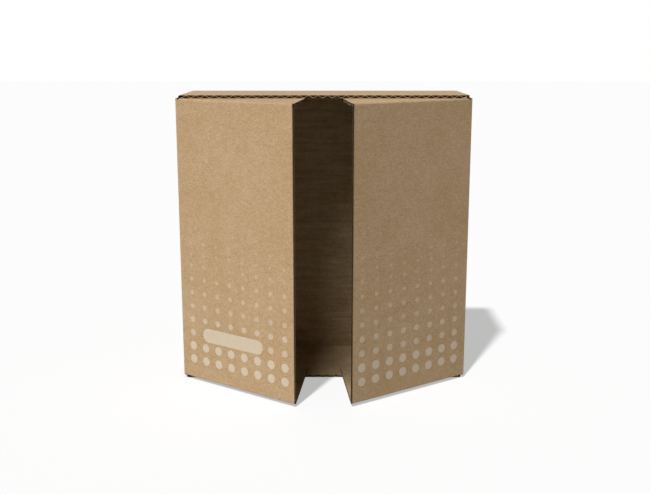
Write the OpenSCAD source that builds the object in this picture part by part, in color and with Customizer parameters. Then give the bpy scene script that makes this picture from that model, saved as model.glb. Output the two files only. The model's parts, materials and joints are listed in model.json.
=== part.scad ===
// Mailer box of corrugated board, standing upright. Its front is two doors, each with a tuck
// flap at its top and one at its bottom. The doors turn on the two upright front creases.
// Millimetres, +Z up. The front faces -Y and the back +Y. The origin is on the floor, under the
// middle of the box without its doors.

/* [Box] */
// Outside width of the box
box_w = 210; // [120:1:400]
// Outside height of the box
box_h = 210; // [120:1:400]
// Outside depth of the box, without its doors
box_d = 70; // [50:1:200]
// Gap between the box's top and bottom panels and the cut edges of its two sides
side_drop = 0.1; // [0.05:0.05:2]

/* [Board] */
// Thickness of the corrugated board
board_t = 2.1; // [1.6:0.1:4]
// Thickness of each flat facing paper
facing_t = 0.2; // [0.2:0.05:0.5]
// Thickness of the waved paper between the facings
web_t = 0.3; // [0.2:0.05:0.6]
// Distance from one crest of the wave to the next
flute_pitch = 6.65; // [5:0.05:9]
// Outside radius of a fold, at most the board's thickness
fold_r = 1.2; // [0.8:0.1:4]
// Length over which a fold crushes the flutes beside it
crush_len = 1; // [0.5:0.1:4]

/* [Doors] */
// Angle by which the left door stands open
left_open = 35.7; // [5:0.1:90]
// Angle by which the right door stands open
right_open = 35.2; // [5:0.1:90]
// Gap between the two doors when both are shut
door_meet_gap = 1.6; // [0.5:0.1:6]
// Gap between the rear edge of a shut tuck flap and the back panel
flap_back_gap = 5.1; // [1:0.1:20]
// Angle by which the free end of a tuck flap is cut back
flap_taper = 30; // [25:1:40]
// Gap between a tuck flap and the panel that it slides along
flap_clear = 0.15; // [0.1:0.05:1]
// Gap between a shut tuck flap and the glue tab beside it
flap_side_clear = 0.8; // [0.4:0.1:2]
// Gap left at the inside of the front crease when a door is shut
crease_clear = 0.1; // [0.05:0.05:0.5]
// Distance from the last outer crest of the wave to a door's free edge
edge_crest = 0.3; // [0:0.1:4]
// Distance from a door's crease to the relief notch beside each of its flaps
notch_x = 1.4; // [0.5:0.1:1.5]
// Width of that notch
notch_w = 1.4; // [0.6:0.1:2.5]
// Depth of that notch
notch_h = 1.5; // [1:0.1:6]

/* [Glue tabs] */
// Height of a glue tab
tab_h = 22; // [14:1:40]
// Distance from the ends of a glue tab to the shut door and to the back panel
tab_end_clear = 1.2; // [0.6:0.1:6]
// Angle by which the ends of a glue tab are cut back
tab_taper = 12; // [0:1:30]

/* [Print] */
// Thickness of the ink
ink_t = 0.1; // [0.05:0.05:0.2]
// Distance from a door's crease to the middle of the first column of dots
dot_margin = 10.7; // [7:0.1:14]
// Least distance from the middle of the last column to the door's free edge
dot_edge = 7; // [5:0.1:14]
// Distance between the middles of two columns
dot_pitch_x = 12.25; // [8:0.05:14]
// Height of the middle of the lowest row above the floor
dot_base_z = 17; // [12:0.5:20]
// Diameter of the dots in the two lowest rows
dot_d = 6.4; // [3:0.1:7]
// Distance between the middles of two rows
dot_pitch_z = 10.2; // [9.6:0.1:12]
// Most rows of dots on a door
dot_rows = 12; // [4:1:12]
// Least height left bare above the dots
dot_head_gap = 85; // [40:1:86]
// Distance from the left door's crease to the plain pill-shaped field
pill_margin = 20.6; // [16:0.1:24]
// Distance from that field to the door's free edge
pill_edge = 27.3; // [20:0.1:28]
// Height of that field
pill_h = 10.4; // [6:0.1:11]

/* [Hidden] */
$fn = 48;

kraft = [0.75, 0.63, 0.49];
pale_ink = [0.85, 0.78, 0.67];
eps = 0.01;

// Places and sizes that the pieces share
side_x = box_w / 2;
inner_x = side_x - board_t;
front_y = -box_d / 2;
back_y = box_d / 2;
back_inner_y = back_y - board_t;
side_low = board_t + side_drop;
side_high = box_h - side_low;
flap_low = board_t + flap_clear;
flap_high = box_h - flap_low;
round_r = min(fold_r, board_t);
door_w = side_x - door_meet_gap / 2;

// The fold of a flap starts beside the notch. Behind the fold the flap is cut back to clear the
// glue tab.
fold_start = notch_x + notch_w;
flap_start = 2 * board_t + flap_side_clear;
shoulder_y = board_t + tab_end_clear - flap_clear;

// A flap reaches nearly to the back panel, or as far as lets its rear corner swing past the
// other door
swing_share = 0.96;
flap_reach = min(box_d - board_t - flap_back_gap, swing_share * side_x * sin(2 * flap_taper));
flap_rear_w = door_w - (flap_reach - board_t) * tan(flap_taper);

// The waved paper, seen end on: its crests touch the outer facing and its troughs the inner one
core_half = board_t / 2 - facing_t;
wave_a = core_half - web_t / 2;
wave_shift = 2.5;
wave_steps = 6;
weld_share = 0.08;
channel_len = (1 - 2 * weld_share) * flute_pitch;
least_cut = 0.3;

// The dots get smaller from the third row up, and the topmost rows stand closer together
large_rows = 2;
small_share = 0.78;
shrink_share = 0.89;
even_rows = 7;
close_share = 0.8;
pill_row = 2;

dot_columns = floor((door_w - dot_margin - dot_edge) / dot_pitch_x) + 1;
pill_to = door_w - pill_edge;

function row_z(i) =
    dot_base_z + dot_pitch_z * (min(i, even_rows) + close_share * max(0, i - even_rows));

function row_d(i) =
    i < large_rows ? dot_d : dot_d * small_share * pow(shrink_share, i - large_rows);

// Outline of one channel between two crests, along x, with the board's middle at y = 0
channel_points = concat(
    [[weld_share * flute_pitch, core_half]],
    [for (i = [0 : wave_steps])
        let (u = weld_share + (1 - 2 * weld_share) * i / wave_steps)
        [u * flute_pitch, wave_a * cos(360 * u) + web_t / 2]],
    [[(1 - weld_share) * flute_pitch, core_half]]
);

// The channels on one side of the wave that lie whole between two places along x
module channel_row(from_x, to_x, crest_x) {
    first = ceil((from_x - crest_x) / flute_pitch - weld_share);
    last = floor((to_x - crest_x) / flute_pitch - 1 + weld_share);
    for (k = [first : 1 : last])
        translate([crest_x + k * flute_pitch, 0])
            polygon(channel_points);
}

// The channels between the wave and the inner facing
module inner_row(from_x, to_x) {
    mirror([0, 1])
        channel_row(from_x, to_x, wave_shift + flute_pitch / 2);
}

// The channels on both sides of the wave. The outer facing is at +y.
module channels(from_x, to_x) {
    channel_row(from_x, to_x, wave_shift);
    inner_row(from_x, to_x);
}

// What rounding takes off the corner of a square that lies at x < 0 and y < 0
module corner_relief(r) {
    translate([-r, -r])
        difference() {
            square(r + eps);
            circle(r = r);
        }
}

// What a fold takes off the sharp edge along z of a board that lies at x < 0 and y < 0
module fold_relief(length) {
    translate([0, 0, -eps])
        linear_extrude(length + 2 * eps)
            corner_relief(round_r);
}

module left_and_right() {
    children();
    mirror([1, 0, 0])
        children();
}

module bottom_and_top() {
    children();
    translate([0, 0, box_h])
        mirror([0, 0, 1])
            children();
}

// Left side, back and right side as one strip. Its front ends are mitred at the door creases.
module wall_strip() {
    mitre_y = front_y + board_t + crease_clear;
    translate([0, 0, side_low])
        linear_extrude(side_high - side_low)
            polygon([
                [side_x, front_y], [side_x, back_y], [-side_x, back_y], [-side_x, front_y],
                [-inner_x, mitre_y], [-inner_x, back_inner_y],
                [inner_x, back_inner_y], [inner_x, mitre_y]
            ]);
}

// Bottom, back and top as one strip that lies between the two sides
module panel_strip() {
    translate([-inner_x, 0, 0])
        rotate([90, 0, 90])
            linear_extrude(2 * inner_x)
                polygon([
                    [front_y, 0], [back_y, 0], [back_y, box_h], [front_y, box_h],
                    [front_y, box_h - board_t], [back_inner_y, box_h - board_t],
                    [back_inner_y, board_t], [front_y, board_t]
                ]);
}

// Bottom left glue tab, folded up from the bottom panel against the left side
module glue_tab() {
    from_y = front_y + board_t + tab_end_clear;
    to_y = back_inner_y - tab_end_clear;
    cut_back = (tab_h - board_t) * tan(tab_taper);
    translate([-inner_x, 0, 0])
        rotate([90, 0, 90])
            linear_extrude(board_t)
                polygon([
                    [from_y, board_t / 2], [to_y, board_t / 2], [to_y, board_t],
                    [to_y - cut_back, tab_h], [from_y + cut_back, tab_h], [from_y, board_t]
                ]);
}

// The room between the top panel's facings, seen from the front, with the panel's middle at
// y = 0. It follows the outside of the folds to the glue tabs.
module panel_core() {
    core_x = inner_x - facing_t;
    difference() {
        translate([-core_x, -core_half])
            square([2 * core_x, 2 * core_half]);
        left_and_right()
            translate([core_x, core_half])
                corner_relief(round_r - facing_t);
    }
}

// Open flutes of the bottom panel, from its front edge to the back fold. The outer ones run on
// into the folds to the glue tabs.
module panel_flutes() {
    to_y = back_inner_y - crush_len;
    outer_x = inner_x + channel_len - least_cut;
    inner_w = inner_x - board_t;
    translate([0, to_y, board_t / 2])
        rotate([90, 0, 0])
            linear_extrude(to_y - front_y + eps)
                mirror([0, 1])
                    intersection() {
                        panel_core();
                        union() {
                            channel_row(-outer_x, outer_x, wave_shift);
                            inner_row(-inner_w, inner_w);
                        }
                    }
}

// Open flutes of the left side, from its bottom edge to its top edge
module side_flutes() {
    translate([-side_x + board_t / 2, 0, side_low - eps])
        rotate([0, 0, 90])
            linear_extrude(side_high - side_low + 2 * eps)
                channels(front_y + board_t + crush_len, back_inner_y - crush_len);
}

// Open flutes of the bottom left glue tab, from its front end to its rear end
module tab_flutes() {
    translate([-inner_x + board_t / 2, back_inner_y, 0])
        rotate([0, -90, 0])
            rotate([90, 0, 0])
                linear_extrude(back_inner_y - front_y)
                    channels(board_t + crush_len, tab_h + channel_len - least_cut);
}

// Rounding of the two upright folds behind, the two level ones behind and the four tab folds
module body_folds() {
    left_and_right()
        translate([side_x, back_y, side_low])
            fold_relief(side_high - side_low);
    bottom_and_top()
        translate([-inner_x, back_y, 0])
            rotate([0, 90, 0])
                fold_relief(2 * inner_x);
    left_and_right()
        bottom_and_top()
            translate([-inner_x, back_y, 0])
                rotate([90, 0, 0])
                    rotate([0, 0, 180])
                        fold_relief(box_d);
}

module box_body() {
    color(kraft)
        difference() {
            union() {
                wall_strip();
                panel_strip();
                left_and_right()
                    bottom_and_top()
                        glue_tab();
            }
            body_folds();
            bottom_and_top()
                panel_flutes();
            left_and_right()
                side_flutes();
            left_and_right()
                bottom_and_top()
                    tab_flutes();
        }
}

// A door in its own frame: its crease is the upright line at the origin, +x runs along the door
// to its free edge, and +y points to its inside. The bottom flap is drawn, and the top one is
// its mirror image.
module door_sheet() {
    translate([0, 0, flap_low])
        linear_extrude(flap_high - flap_low)
            polygon([[0, 0], [door_w, 0], [door_w, board_t], [board_t, board_t]]);
    translate([0, 0, side_low])
        linear_extrude(side_high - side_low)
            polygon([[0, 0], [notch_x, 0], [notch_x, notch_x]]);
    bottom_and_top()
        translate([0, 0, flap_low])
            linear_extrude(board_t)
                polygon([
                    [fold_start, 0], [door_w, 0], [door_w, flap_reach], [flap_start, flap_reach],
                    [flap_start, shoulder_y], [fold_start, board_t]
                ]);
}

// Slanted cut that takes the free ends of both flaps back
module flap_end_cut() {
    linear_extrude(box_h)
        polygon([
            [door_w, board_t], [flap_rear_w, flap_reach], [flap_rear_w, flap_reach + board_t],
            [door_w + board_t, flap_reach + board_t], [door_w + board_t, board_t]
        ]);
}

// Relief notch beside the bottom flap, cut through the door panel
module relief_notch() {
    translate([notch_x, board_t + eps, flap_low])
        rotate([90, 0, 0])
            linear_extrude(board_t + 2 * eps)
                polygon([[0, -eps], [notch_w, -eps], [notch_w / 2, notch_h]]);
}

// Rounding of the fold between the door panel and its bottom flap
module flap_fold() {
    translate([fold_start, 0, flap_low])
        rotate([90, 0, 90])
            rotate([0, 0, 180])
                fold_relief(door_w - fold_start);
}

// Open flutes of the bottom flap, from its rear edge and its slanted end to its fold
module flap_flutes() {
    translate([0, flap_reach + eps, flap_low + board_t / 2])
        rotate([90, 0, 0])
            linear_extrude(flap_reach - board_t - crush_len + eps)
                mirror([0, 1])
                    channels(flap_start - flute_pitch, door_w + flute_pitch);
}

// The inner flute that the door's free edge cuts open along its length, and the outer one where
// enough of it lies inside the edge
module edge_flutes() {
    from_z = flap_low + board_t;
    to_z = flap_high - board_t;
    translate([door_w - edge_crest - wave_shift, board_t / 2, from_z])
        linear_extrude(to_z - from_z)
            mirror([0, 1]) {
                inner_row(wave_shift - flute_pitch / 2, wave_shift + flute_pitch / 2);
                if (edge_crest > weld_share * flute_pitch + least_cut)
                    channel_row(wave_shift, wave_shift + flute_pitch);
            }
}

module door() {
    difference() {
        door_sheet();
        flap_end_cut();
        edge_flutes();
        bottom_and_top() {
            flap_fold();
            relief_notch();
            flap_flutes();
        }
    }
}

// Dots of pale ink on a door, in the door's own frame. With a pill, the dots under it are left
// out.
module dot_print(with_pill) {
    for (i = [0 : dot_rows - 1], j = [0 : dot_columns - 1]) {
        x = dot_margin + j * dot_pitch_x;
        fits = row_z(i) < flap_high - dot_head_gap;
        under_pill = with_pill && i == pill_row
            && x > pill_margin - dot_d / 2 && x < pill_to + dot_d / 2;
        if (fits && !under_pill)
            translate([x, 0, row_z(i)])
                rotate([90, 0, 0])
                    cylinder(h = ink_t, d = row_d(i));
    }
}

// The plain pill-shaped field of pale ink, in the door's own frame
module pill_print() {
    translate([0, 0, row_z(pill_row)])
        rotate([90, 0, 0])
            linear_extrude(ink_t) {
                translate([pill_margin + pill_h / 2, -pill_h / 2])
                    square([pill_to - pill_margin - pill_h, pill_h]);
                translate([pill_margin + pill_h / 2, 0])
                    circle(d = pill_h);
                translate([pill_to - pill_h / 2, 0])
                    circle(d = pill_h);
            }
}

// Moves a door from its own frame to the left front crease, standing open by an angle
module on_crease(opening) {
    translate([-side_x, front_y, 0])
        rotate([0, 0, -opening])
            children();
}

module left_door() {
    color(kraft)
        on_crease(left_open)
            door();
}

module right_door() {
    color(kraft)
        mirror([1, 0, 0])
            on_crease(right_open)
                door();
}

module left_door_print() {
    color(pale_ink)
        on_crease(left_open) {
            dot_print(true);
            pill_print();
        }
}

module right_door_print() {
    color(pale_ink)
        mirror([1, 0, 0])
            on_crease(right_open)
                dot_print(false);
}

box_body();
left_door();
right_door();
left_door_print();
right_door_print();
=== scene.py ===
import json
import math

import bpy
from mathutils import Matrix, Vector


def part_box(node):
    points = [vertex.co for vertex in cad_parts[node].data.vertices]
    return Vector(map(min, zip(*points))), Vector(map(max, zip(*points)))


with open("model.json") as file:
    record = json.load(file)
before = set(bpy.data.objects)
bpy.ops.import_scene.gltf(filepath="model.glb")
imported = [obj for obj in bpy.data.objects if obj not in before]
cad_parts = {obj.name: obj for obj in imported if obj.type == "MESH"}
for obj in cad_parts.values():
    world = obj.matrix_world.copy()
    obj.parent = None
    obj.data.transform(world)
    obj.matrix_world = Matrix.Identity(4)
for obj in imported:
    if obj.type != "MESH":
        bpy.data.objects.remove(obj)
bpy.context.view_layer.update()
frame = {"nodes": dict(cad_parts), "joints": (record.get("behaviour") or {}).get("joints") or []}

MM = 0.001
NODES = frame["nodes"]

# Places taken from the frame
BODY_LOW, BODY_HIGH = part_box("box_body")
FRONT_Y = BODY_LOW.y
BACK_Y = BODY_HIGH.y
BOX_W = BODY_HIGH.x - BODY_LOW.x
BOX_H = BODY_HIGH.z

# Board: its thickness, each facing's, the outer radius of a fold and the flutes a fold crushes
BOARD_T = 2.1 * MM
FACING_T = 0.2 * MM
FOLD_R = 1.2 * MM
CRUSH = 1 * MM

# Doors: the gap where they meet, the room beside a tuck flap, its slant and the notch beside it, where
# shade is painted
MEET_GAP = 1.6 * MM
FLAP_CLEAR = 0.15 * MM
FLAP_SLANT = math.radians(30)
NOTCH_FROM = 1.4 * MM
NOTCH_W = 1.4 * MM
NOTCH_H = 1.5 * MM
DOOR_W = (BOX_W - MEET_GAP) / 2
FLAP_LEVEL = BOX_H / 2 - BOARD_T - FLAP_CLEAR

# Sides: how far their upper and lower ends lie inside the box's top and bottom
SIDE_CLEAR = 0.1 * MM
SIDE_DROP = BOARD_T + SIDE_CLEAR

# Masks: the reach past a face, and how far the painted shade at a fold's end and in a free edge's
# groove goes in
SKIN = 0.03 * MM
FOLD_END = 2 * MM
EDGE_GROOVE = 4 * MM

# Camera, in box widths from the middle of the front at floor level
FRAME_PX = 650
FOCAL_PX = 928
SENSOR_MM = 36
CAMERA_ASIDE = 0.0039
CAMERA_BACK = 3.1567
CAMERA_UP = 1.1613
CAMERA_DIP = math.radians(12.216)

# Lamps: turn from the front towards the left, height above the level, width, all in degrees,
# then strength. The sun draws the shadow on the floor, and the two soft keys light the object.
SUN = (23.6, 58.1, 3.0, 5.7)
BODY_KEY = (33, 59, 28, 2.56)
DOOR_KEY = (37, 46.4, 40, 3.0)
BACK_FILL = (165, 14, 26, 0.5)
SKY_STRENGTH = 0.18
WHITE = (1, 1, 1, 1)

# Floor: its width in metres, the share of light it throws back, and the glow that whitens it
FLOOR_SIZE = 12
FLOOR_LIT = 0.30
FLOOR_GLOW = 0.47

# Colours, as the left door shows them
KRAFT_DARK = (0.418, 0.263, 0.108, 1)
KRAFT_LIGHT = (0.588, 0.421, 0.274, 1)
KRAFT_WORN = (0.66, 0.49, 0.33, 1)
SPECK = (0.27, 0.165, 0.075, 1)
FLECK = (0.72, 0.58, 0.42, 1)
TINT_WARM = (1.035, 1.015, 0.94, 1)
TINT_COOL = (0.965, 0.985, 1.06, 1)
STREAK_DARK = (0.81, 0.88, 0.90, 1)
STREAK_LIGHT = (1.15, 1.24, 1.27, 1)
INK = (0.755, 0.662, 0.525, 1)
# Painted shade that fills the flutes' hollows, the notches and the gaps at the ends of folds
FLUTE_SHADE = (0.045, 0.03, 0.018, 1)

# Cut edges, with their light and shade painted in: inside a flute, the end of a facing and the end of
# the wave. The top's waves are painted light and the flaps' dark, and the bottom's ends are painted
# lighter, as if lit
TOP_CUT_LIGHT_AND_SHADE = (FLUTE_SHADE, (0.15, 0.098, 0.053, 1), (0.78, 0.52, 0.29, 1))
FLAP_CUT_SHADE = (FLUTE_SHADE, (0.15, 0.098, 0.053, 1), (0.42, 0.26, 0.13, 1))
BOTTOM_CUT_LIGHT_AND_SHADE = ((0.28, 0.2, 0.125, 1), (0.42, 0.29, 0.17, 1), (0.95, 0.66, 0.40, 1))
SIDE_END_SHADE = 0.8

# Ends of the board along a door's free edge, painted with shade: its outer half, then its inner half,
# painted darker as the shade in its groove. The right door's are painted darker, as if shaded
LEFT_EDGE_SHADE = ((0.42, 0.29, 0.17, 1), (0.2, 0.13, 0.075, 1))
RIGHT_EDGE_SHADE = ((0.17, 0.115, 0.067, 1), (0.085, 0.058, 0.034, 1))

# Noises: features to the metre, the share of that along x, y and z, and a shift
GRAIN = (1500, (1, 1, 1), 0.0)
FIBRES = (520, (0.55, 0.55, 1), 7.7)
CLOUDS = (120, (0.7, 0.7, 1), 3.1)
PATCHES = (22, (1, 1, 1), 9.4)
HUES = (1100, (1, 1, 1), 1.9)
SPECKS = (620, (0.5, 0.5, 1), 12.3)
FLECKS = (540, (0.5, 0.5, 1), 21.7)
TICKS = (380, (1, 1, 0.3), 5.5)
FINE_STREAKS = (620, (0.07, 0.07, 1), 14.2)
BROAD_STREAKS = (170, (0.12, 0.12, 1), 17.6)
NOISE_DETAIL = 2
NOISE_ROUGHNESS = 0.6

# Tone of the paper and of its streaks: a start, and what each noise adds to it
PAPER_START = -1.73
PATCH_TONE = 0.42
CLOUD_TONE = 0.42
FIBRE_TONE = 0.75
GRAIN_TONE = 2.87
STREAK_START = -1.0
FINE_TONE = 2.2
BROAD_TONE = 0.8

# Where a noise turns into a hue, a speck or fleck, or a tick, and how much of it shows there
HUE_SPAN = (0.3, 0.7)
SPOT_SPAN = (0.68, 0.76)
TICK_SPAN = (0.35, 0.65)
SPECK_SHARE = 0.45
FLECK_SHARE = 0.40
TICK_SHARES = (0.03, 0.22)

# Worn stretch beside a fold and beside a door's crease
FOLD_WEAR = 3 * MM
CREASE_WEAR = 2.4 * MM

# Surface
RELIEF = 0.1 * MM
RELIEF_SHARE = 0.4
PAPER_ROUGHNESS = 0.86
INK_ROUGHNESS = 0.7
SPECULAR = 0.2

# Ink: the share it covers from each height up, in mm, and the plain field's place and share
INK_TOP = 150
INK_BANDS = ((0.0, 0.62), (32.3, 0.47), (52.7, 0.34), (83.3, 0.21), (108.8, 0.11), (117.0, 0.04))
PILL_X = -65.4 * MM
PILL_FROM = 23.9 * MM
PILL_TO = 24.0 * MM
PILL_TOP = 44 * MM
PILL_SHADE = (0.62, 0.62, 0.62, 1)


def door_frame(name):
    """Where a door is at rest: its crease, the way along it and the way into the box."""
    joint = next(j for j in frame["joints"] if j["name"] == name)
    crease = Vector(joint["pos_m"])
    opening = math.radians(-joint["range_deg"][0])
    side = -1 if crease.x < 0 else 1
    along = Vector((-side * math.cos(opening), -math.sin(opening), 0))
    inward = Vector((-side * math.sin(opening), math.cos(opening), 0))
    return crease, along, inward


class Graph:
    """Short calls for building a material's nodes."""

    def __init__(self, name):
        self.material = bpy.data.materials.new(name)
        self.material.use_nodes = True
        self.tree = self.material.node_tree
        self.tree.nodes.clear()
        self.output = self.tree.nodes.new("ShaderNodeOutputMaterial")

    def feed(self, node, key, value):
        if isinstance(value, bpy.types.NodeSocket):
            self.tree.links.new(value, node.inputs[key])
        else:
            node.inputs[key].default_value = value

    def put(self, kind, inputs=None, **settings):
        """A new node with its settings and its inputs, each a value or another node's output."""
        made = self.tree.nodes.new(kind)
        for key, value in settings.items():
            setattr(made, key, value)
        for key, value in (inputs or {}).items():
            self.feed(made, key, value)
        return made

    def place(self):
        return self.put("ShaderNodeTexCoord").outputs["Object"]

    def axes(self, place):
        """The x, y and z of a place."""
        return self.put("ShaderNodeSeparateXYZ", {"Vector": place}).outputs[:]

    def math(self, operation, *values):
        return self.put("ShaderNodeMath", dict(enumerate(values)), operation=operation).outputs[0]

    def minus(self, first, second):
        return self.math("SUBTRACT", first, second)

    def size(self, value):
        return self.math("ABSOLUTE", value)

    def above(self, value, limit):
        return self.math("GREATER_THAN", value, limit)

    def below(self, value, limit):
        return self.math("LESS_THAN", value, limit)

    def between(self, value, low, high):
        return self.math("MULTIPLY", self.above(value, low), self.below(value, high))

    def every(self, first, *others):
        """1 where all of the masks are 1."""
        for mask in others:
            first = self.math("MULTIPLY", first, mask)
        return first

    def either(self, first, *others):
        """The largest of the masks."""
        for mask in others:
            first = self.math("MAXIMUM", first, mask)
        return first

    def vector(self, operation, first, second):
        made = self.put("ShaderNodeVectorMath", {0: first, 1: second}, operation=operation)
        return made.outputs["Value" if operation == "DOT_PRODUCT" else "Vector"]

    def mix(self, share, low, high, blend="MIX"):
        """Colour between low and high by share."""
        made = self.put("ShaderNodeMix", data_type="RGBA", blend_type=blend)
        for index, value in ((0, share), (6, low), (7, high)):
            self.feed(made, index, value)
        return made.outputs[2]

    def remap(self, value, low, high, to_low=0.0, to_high=1.0):
        names = ("Value", "From Min", "From Max", "To Min", "To Max")
        inputs = dict(zip(names, (value, low, high, to_low, to_high)))
        return self.put("ShaderNodeMapRange", inputs, clamp=True).outputs[0]

    def noise(self, place, texture):
        """One of the noises above, from 0 to 1."""
        features, shares, shift = texture
        spot = self.put("ShaderNodeMapping", {"Vector": place, "Scale": shares,
                                              "Location": (shift, shift, shift)})
        made = self.put("ShaderNodeTexNoise", {"Vector": spot.outputs[0], "Scale": features,
                                               "Detail": NOISE_DETAIL,
                                               "Roughness": NOISE_ROUGHNESS})
        return made.outputs[0]

    def tone(self, start, *parts):
        """The start and each noise times its weight, added up and kept between 0 and 1."""
        for noise, weight in parts:
            start = self.math("MULTIPLY_ADD", noise, weight, start)
        return self.remap(start, 0, 1)

    def near(self, first, second, reach):
        """1 on the line where both distances are zero, falling to 0 at reach from it."""
        square = self.math("MULTIPLY", first, first)
        gap = self.math("SQRT", self.math("MULTIPLY_ADD", second, second, square))
        return self.remap(gap, 0.0, reach, 1.0, 0.0)

    def surface(self, shader):
        self.tree.links.new(shader.outputs[0], self.output.inputs["Surface"])
        return self.material


def kraft_paper(graph, place):
    """Brown kraft paper's colour and relief: fine fibres, a little cloud and a few specks."""
    grain = graph.noise(place, GRAIN)
    fibres = graph.noise(place, FIBRES)
    clouds = graph.noise(place, CLOUDS)
    patches = graph.noise(place, PATCHES)
    tone = graph.tone(PAPER_START, (patches, PATCH_TONE), (clouds, CLOUD_TONE),
                      (fibres, FIBRE_TONE), (grain, GRAIN_TONE))
    base = graph.mix(tone, KRAFT_DARK, KRAFT_LIGHT)
    hue = graph.remap(graph.noise(place, HUES), *HUE_SPAN)
    base = graph.mix(1.0, base, graph.mix(hue, TINT_WARM, TINT_COOL), "MULTIPLY")
    for texture, share, colour in ((SPECKS, SPECK_SHARE, SPECK), (FLECKS, FLECK_SHARE, FLECK)):
        spots = graph.remap(graph.noise(place, texture), *SPOT_SPAN, 0, share)
        base = graph.mix(spots, base, colour)
    return base, graph.math("ADD", grain, fibres)


def paper_shader(graph, colour, relief, roughness):
    bump = graph.put("ShaderNodeBump", {"Height": relief, "Distance": RELIEF,
                                        "Strength": RELIEF_SHARE})
    return graph.put("ShaderNodeBsdfPrincipled", {
        "Base Color": colour, "Roughness": roughness, "Specular IOR Level": SPECULAR,
        "Normal": bump.outputs[0]})


def worn(graph, place, colour, wear):
    """Kraft that a fold has stretched: paler, in short ticks across the fold."""
    ticks = graph.remap(graph.noise(place, TICKS), *TICK_SPAN, *TICK_SHARES)
    return graph.mix(graph.math("MULTIPLY", wear, ticks), colour, KRAFT_WORN)


def streaked(graph, place, colour, inside):
    """The inner facing's colour, with level streaks that the outer one hasn't."""
    fine = graph.noise(place, FINE_STREAKS)
    broad = graph.noise(place, BROAD_STREAKS)
    tone = graph.tone(STREAK_START, (fine, FINE_TONE), (broad, BROAD_TONE))
    streaks = graph.mix(tone, STREAK_DARK, STREAK_LIGHT)
    return graph.mix(inside, colour, graph.mix(1.0, colour, streaks, "MULTIPLY"))


def in_board(graph, distance):
    """1 between the two facings of a board, by the distance from its outer face."""
    return graph.between(distance, FACING_T - SKIN, BOARD_T - FACING_T + SKIN)


def under_fold(graph, first, second):
    """Distance from the outer face of two panels, by the distances from the two planes that meet
    in the fold between them."""
    first = graph.minus(FOLD_R, first)
    second = graph.minus(FOLD_R, second)
    squares = [graph.math("POWER", graph.math("MAXIMUM", gap, 0.0), 2.0) for gap in (first, second)]
    bend = graph.math("SQRT", graph.math("ADD", *squares))
    flat = graph.math("MINIMUM", graph.math("MAXIMUM", first, second), 0.0)
    return graph.minus(graph.minus(FOLD_R, bend), flat)


def cut_open(graph, colour, hollow, cut, looks):
    """Painted shade in the flutes, and at a cut the paler end of the wave between dull ends of the
    facings, each with its light and shade painted in.
    """
    flute, paper, wave = looks
    colour = graph.mix(hollow, colour, flute)
    return graph.mix(cut, colour, graph.mix(hollow, paper, wave))


def body_material():
    """The box's board, streaked inside and worn at its folds, with painted shade in its flutes, at its
    cut ends and at the ends of its folds, and painted light on the ends of the wave.
    """
    graph = Graph("kraft_body")
    place = graph.place()
    colour, relief = kraft_paper(graph, place)
    across, ahead, up = graph.axes(place)
    to_side = graph.minus(BOX_W / 2, graph.size(across))
    to_tab = graph.minus(BOX_W / 2 - BOARD_T, graph.size(across))
    to_level = graph.minus(BOX_H / 2, graph.size(graph.minus(up, BOX_H / 2)))
    to_back = graph.minus(BACK_Y, ahead)
    folds = ((to_side, to_back), (to_level, to_back), (to_level, to_tab))
    colour = worn(graph, place, colour, graph.either(*(graph.near(*fold, FOLD_WEAR) for fold in folds)))
    inside = graph.every(*(graph.above(gap, BOARD_T - SKIN) for gap in (to_side, to_level, to_back)))
    colour = streaked(graph, place, colour, inside)

    # Painted shade fills the hollows of the flutes between the facings
    in_side = graph.every(in_board(graph, to_side), graph.above(ahead, FRONT_Y + BOARD_T + CRUSH / 2))
    in_level = in_board(graph, under_fold(graph, to_level, to_tab))
    hollow = graph.every(graph.either(in_level, in_side), graph.above(to_back, BOARD_T + SKIN))
    at_front = graph.below(ahead, FRONT_Y + SKIN)
    # Height within the bottom's or the top's board, whose upper facing keeps the paper's colour
    up_board = graph.math("MODULO", up, BOX_H - BOARD_T)
    cut = graph.every(at_front, graph.minus(1.0, graph.above(up_board, BOARD_T - FACING_T)))
    # The top's and the bottom's cut ends are lit and shaded copies of one look, picked by height: the
    # bottom's are painted lighter
    low = graph.below(up, BOX_H / 2)
    looks = [graph.mix(low, *pair) for pair in zip(TOP_CUT_LIGHT_AND_SHADE, BOTTOM_CUT_LIGHT_AND_SHADE)]
    colour = cut_open(graph, colour, hollow, cut, looks)

    # Painted shade on the side walls' top ends and in the gap at the front ends of the folds by the
    # sides
    side_end = graph.every(graph.below(to_tab, -SKIN),
                           graph.between(to_level, SIDE_DROP - SKIN, SIDE_DROP + SKIN))
    fold_end = graph.every(at_front, graph.below(to_tab, FOLD_END), graph.above(to_tab, -SKIN))
    shade = graph.either(graph.math("MULTIPLY", side_end, SIDE_END_SHADE), fold_end)
    colour = graph.mix(shade, colour, FLUTE_SHADE)
    return graph.surface(paper_shader(graph, colour, relief, PAPER_ROUGHNESS))


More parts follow.
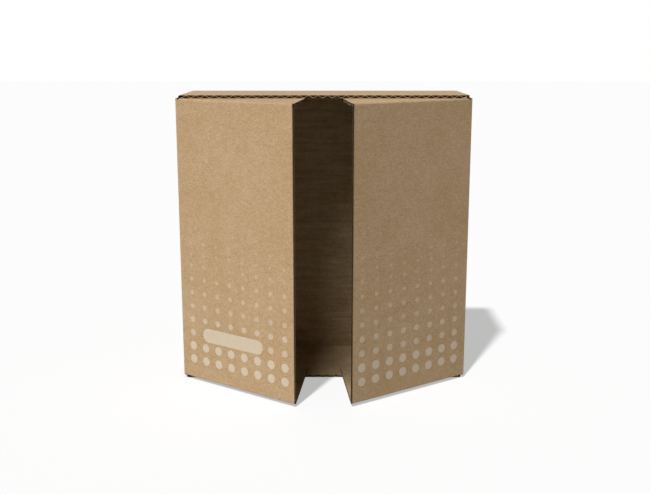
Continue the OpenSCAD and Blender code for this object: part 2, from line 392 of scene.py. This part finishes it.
def door_material(name, joint, edge_shades):
    """A door's board, streaked on its inner side and worn at its folds, with painted shade in its
    flutes, at its cut ends, along its free edge, in the notch and at the ends of its folds.
    """
    graph = Graph(name)
    place = graph.place()
    colour, relief = kraft_paper(graph, place)
    crease, along, inward = door_frame(joint)
    from_crease = graph.vector("SUBTRACT", place, tuple(crease))
    across = graph.vector("DOT_PRODUCT", from_crease, tuple(along))
    depth = graph.vector("DOT_PRODUCT", from_crease, tuple(inward))
    to_flap = graph.minus(FLAP_LEVEL, graph.size(graph.axes(from_crease)[2]))
    wear = graph.either(graph.near(to_flap, depth, FOLD_WEAR), graph.near(across, depth, CREASE_WEAR))
    colour = worn(graph, place, colour, wear)
    behind = graph.above(depth, BOARD_T - SKIN)
    colour = streaked(graph, place, colour, graph.every(behind, graph.above(to_flap, BOARD_T - SKIN)))

    to_free = graph.minus(DOOR_W, across)
    slant = graph.math("MULTIPLY", graph.minus(depth, BOARD_T), math.tan(FLAP_SLANT))
    # Painted shade in the flap's flutes, and painted shade on its cut ends
    in_flap = graph.every(behind, in_board(graph, to_flap))
    cut = graph.below(graph.math("MINIMUM", to_free, graph.minus(to_free, slant)), SKIN)
    colour = cut_open(graph, colour, in_flap, cut, FLAP_CUT_SHADE)
    # Painted shade along the free edge, darkest in its groove
    under = under_fold(graph, to_flap, depth)
    free_edge = graph.every(graph.below(to_free, EDGE_GROOVE), graph.below(depth, BOARD_T - SKIN),
                            graph.above(under, SKIN))
    edge_shade = graph.mix(graph.above(depth, BOARD_T / 2), *edge_shades)
    colour = graph.mix(free_edge, colour, edge_shade)

    # Painted shade in the notch beside the crease and at the fold's end by the cut
    notch = graph.every(graph.between(across, NOTCH_FROM - SKIN, NOTCH_FROM + NOTCH_W + SKIN),
                        graph.below(to_flap, NOTCH_H + SKIN), graph.above(depth, SKIN))
    fold_end = graph.every(cut, graph.below(to_flap, BOARD_T), graph.below(depth, BOARD_T),
                           graph.above(under, FACING_T))
    colour = graph.mix(graph.either(notch, fold_end), colour, FLUTE_SHADE)
    return graph.surface(paper_shader(graph, colour, relief, PAPER_ROUGHNESS))


def ink_material():
    """Pale ink that lets the kraft show through. Each few rows up it covers less."""
    graph = Graph("pale_ink")
    place = graph.place()
    colour, relief = kraft_paper(graph, place)
    across, _, up = graph.axes(place)
    ramp = graph.put("ShaderNodeValToRGB", {"Fac": graph.remap(up, 0, INK_TOP * MM)})
    ramp.color_ramp.interpolation = "CONSTANT"
    while len(ramp.color_ramp.elements) < len(INK_BANDS):
        ramp.color_ramp.elements.new(0.5)
    for element, (level, cover) in zip(ramp.color_ramp.elements, INK_BANDS):
        element.position = level / INK_TOP
        element.color = (cover, cover, cover, 1)
    from_middle = graph.size(graph.minus(across, PILL_X))
    in_pill = graph.math("MULTIPLY", graph.remap(from_middle, PILL_FROM, PILL_TO, 1, 0),
                         graph.below(up, PILL_TOP))
    cover = graph.mix(in_pill, ramp.outputs["Color"], PILL_SHADE)
    colour = graph.mix(cover, colour, INK)
    return graph.surface(paper_shader(graph, colour, relief, INK_ROUGHNESS))


def floor_material():
    """Floor that looks white and keeps the object's shadow, but throws less light back."""
    graph = Graph("white_floor")
    path = graph.put("ShaderNodeLightPath").outputs
    seen = graph.either(path["Is Camera Ray"], path["Is Glossy Ray"], path["Is Transmission Ray"])
    lit = graph.put("ShaderNodeBsdfDiffuse", {"Color": (FLOOR_LIT, FLOOR_LIT, FLOOR_LIT, 1)})
    glow = graph.put("ShaderNodeEmission", {"Strength": graph.math("MULTIPLY", seen, FLOOR_GLOW)})
    return graph.surface(graph.put("ShaderNodeAddShader", {0: lit.outputs[0], 1: glow.outputs[0]}))


def dress_nodes():
    looks = {"box_body": body_material(),
             "left_door": door_material("kraft_left", "left_door_crease", LEFT_EDGE_SHADE),
             "right_door": door_material("kraft_right", "right_door_crease", RIGHT_EDGE_SHADE)}
    ink = ink_material()
    for name, piece in NODES.items():
        piece.data.materials.clear()
        piece.data.materials.append(looks.get(name, ink))


def add_floor():
    bpy.ops.mesh.primitive_plane_add(size=FLOOR_SIZE, location=(0, 0, 0))
    floor = bpy.context.object
    floor.name = "floor"
    floor.data.materials.append(floor_material())
    return floor


def add_lamp(name, settings, lit):
    """A distant lamp that lights only the objects given."""
    turn, height, width, strength = settings
    lamp = bpy.data.lights.new(name, "SUN")
    lamp.angle = math.radians(width)
    lamp.energy = strength
    holder = bpy.data.objects.new(name, lamp)
    holder.rotation_euler = (math.radians(90 - height), 0, math.radians(-turn))
    bpy.context.scene.collection.objects.link(holder)
    receivers = bpy.data.collections.new("lit_by_" + name)
    for item in lit:
        receivers.objects.link(item)
    holder.light_linking.receiver_collection = receivers


def set_world():
    """Plain sky for light, and white where the camera sees it."""
    world = bpy.data.worlds.new("studio")
    world.use_nodes = True
    nodes, links = world.node_tree.nodes, world.node_tree.links
    nodes.clear()
    output = nodes.new("ShaderNodeOutputWorld")
    path = nodes.new("ShaderNodeLightPath")
    sky = nodes.new("ShaderNodeBackground")
    sky.inputs["Strength"].default_value = SKY_STRENGTH
    white = nodes.new("ShaderNodeBackground")
    white.inputs["Color"].default_value = WHITE
    seen = path.outputs["Is Camera Ray"]
    for name in ("Is Glossy Ray", "Is Transmission Ray"):
        either = nodes.new("ShaderNodeMath")
        either.operation = "MAXIMUM"
        links.new(seen, either.inputs[0])
        links.new(path.outputs[name], either.inputs[1])
        seen = either.outputs[0]
    mix = nodes.new("ShaderNodeMixShader")
    links.new(seen, mix.inputs[0])
    links.new(sky.outputs[0], mix.inputs[1])
    links.new(white.outputs[0], mix.inputs[2])
    links.new(mix.outputs[0], output.inputs["Surface"])
    bpy.context.scene.world = world


def add_camera():
    data = bpy.data.cameras.new("camera")
    data.sensor_width = SENSOR_MM
    data.lens = FOCAL_PX / FRAME_PX * SENSOR_MM
    camera = bpy.data.objects.new("camera", data)
    camera.location = (CAMERA_ASIDE * BOX_W, FRONT_Y - CAMERA_BACK * BOX_W, CAMERA_UP * BOX_W)
    camera.rotation_euler = (math.pi / 2 - CAMERA_DIP, 0, 0)
    bpy.context.scene.collection.objects.link(camera)
    bpy.context.scene.camera = camera


add_camera()
set_world()
dress_nodes()
floor = add_floor()
body = NODES["box_body"]
doors = [piece for name, piece in NODES.items() if name != "box_body"]
add_lamp("sun", SUN, [floor])
add_lamp("body_key", BODY_KEY, [body])
add_lamp("door_key", DOOR_KEY, doors)
add_lamp("back_fill", BACK_FILL, [body, *doors])
bpy.context.scene.view_settings.view_transform = "Standard"
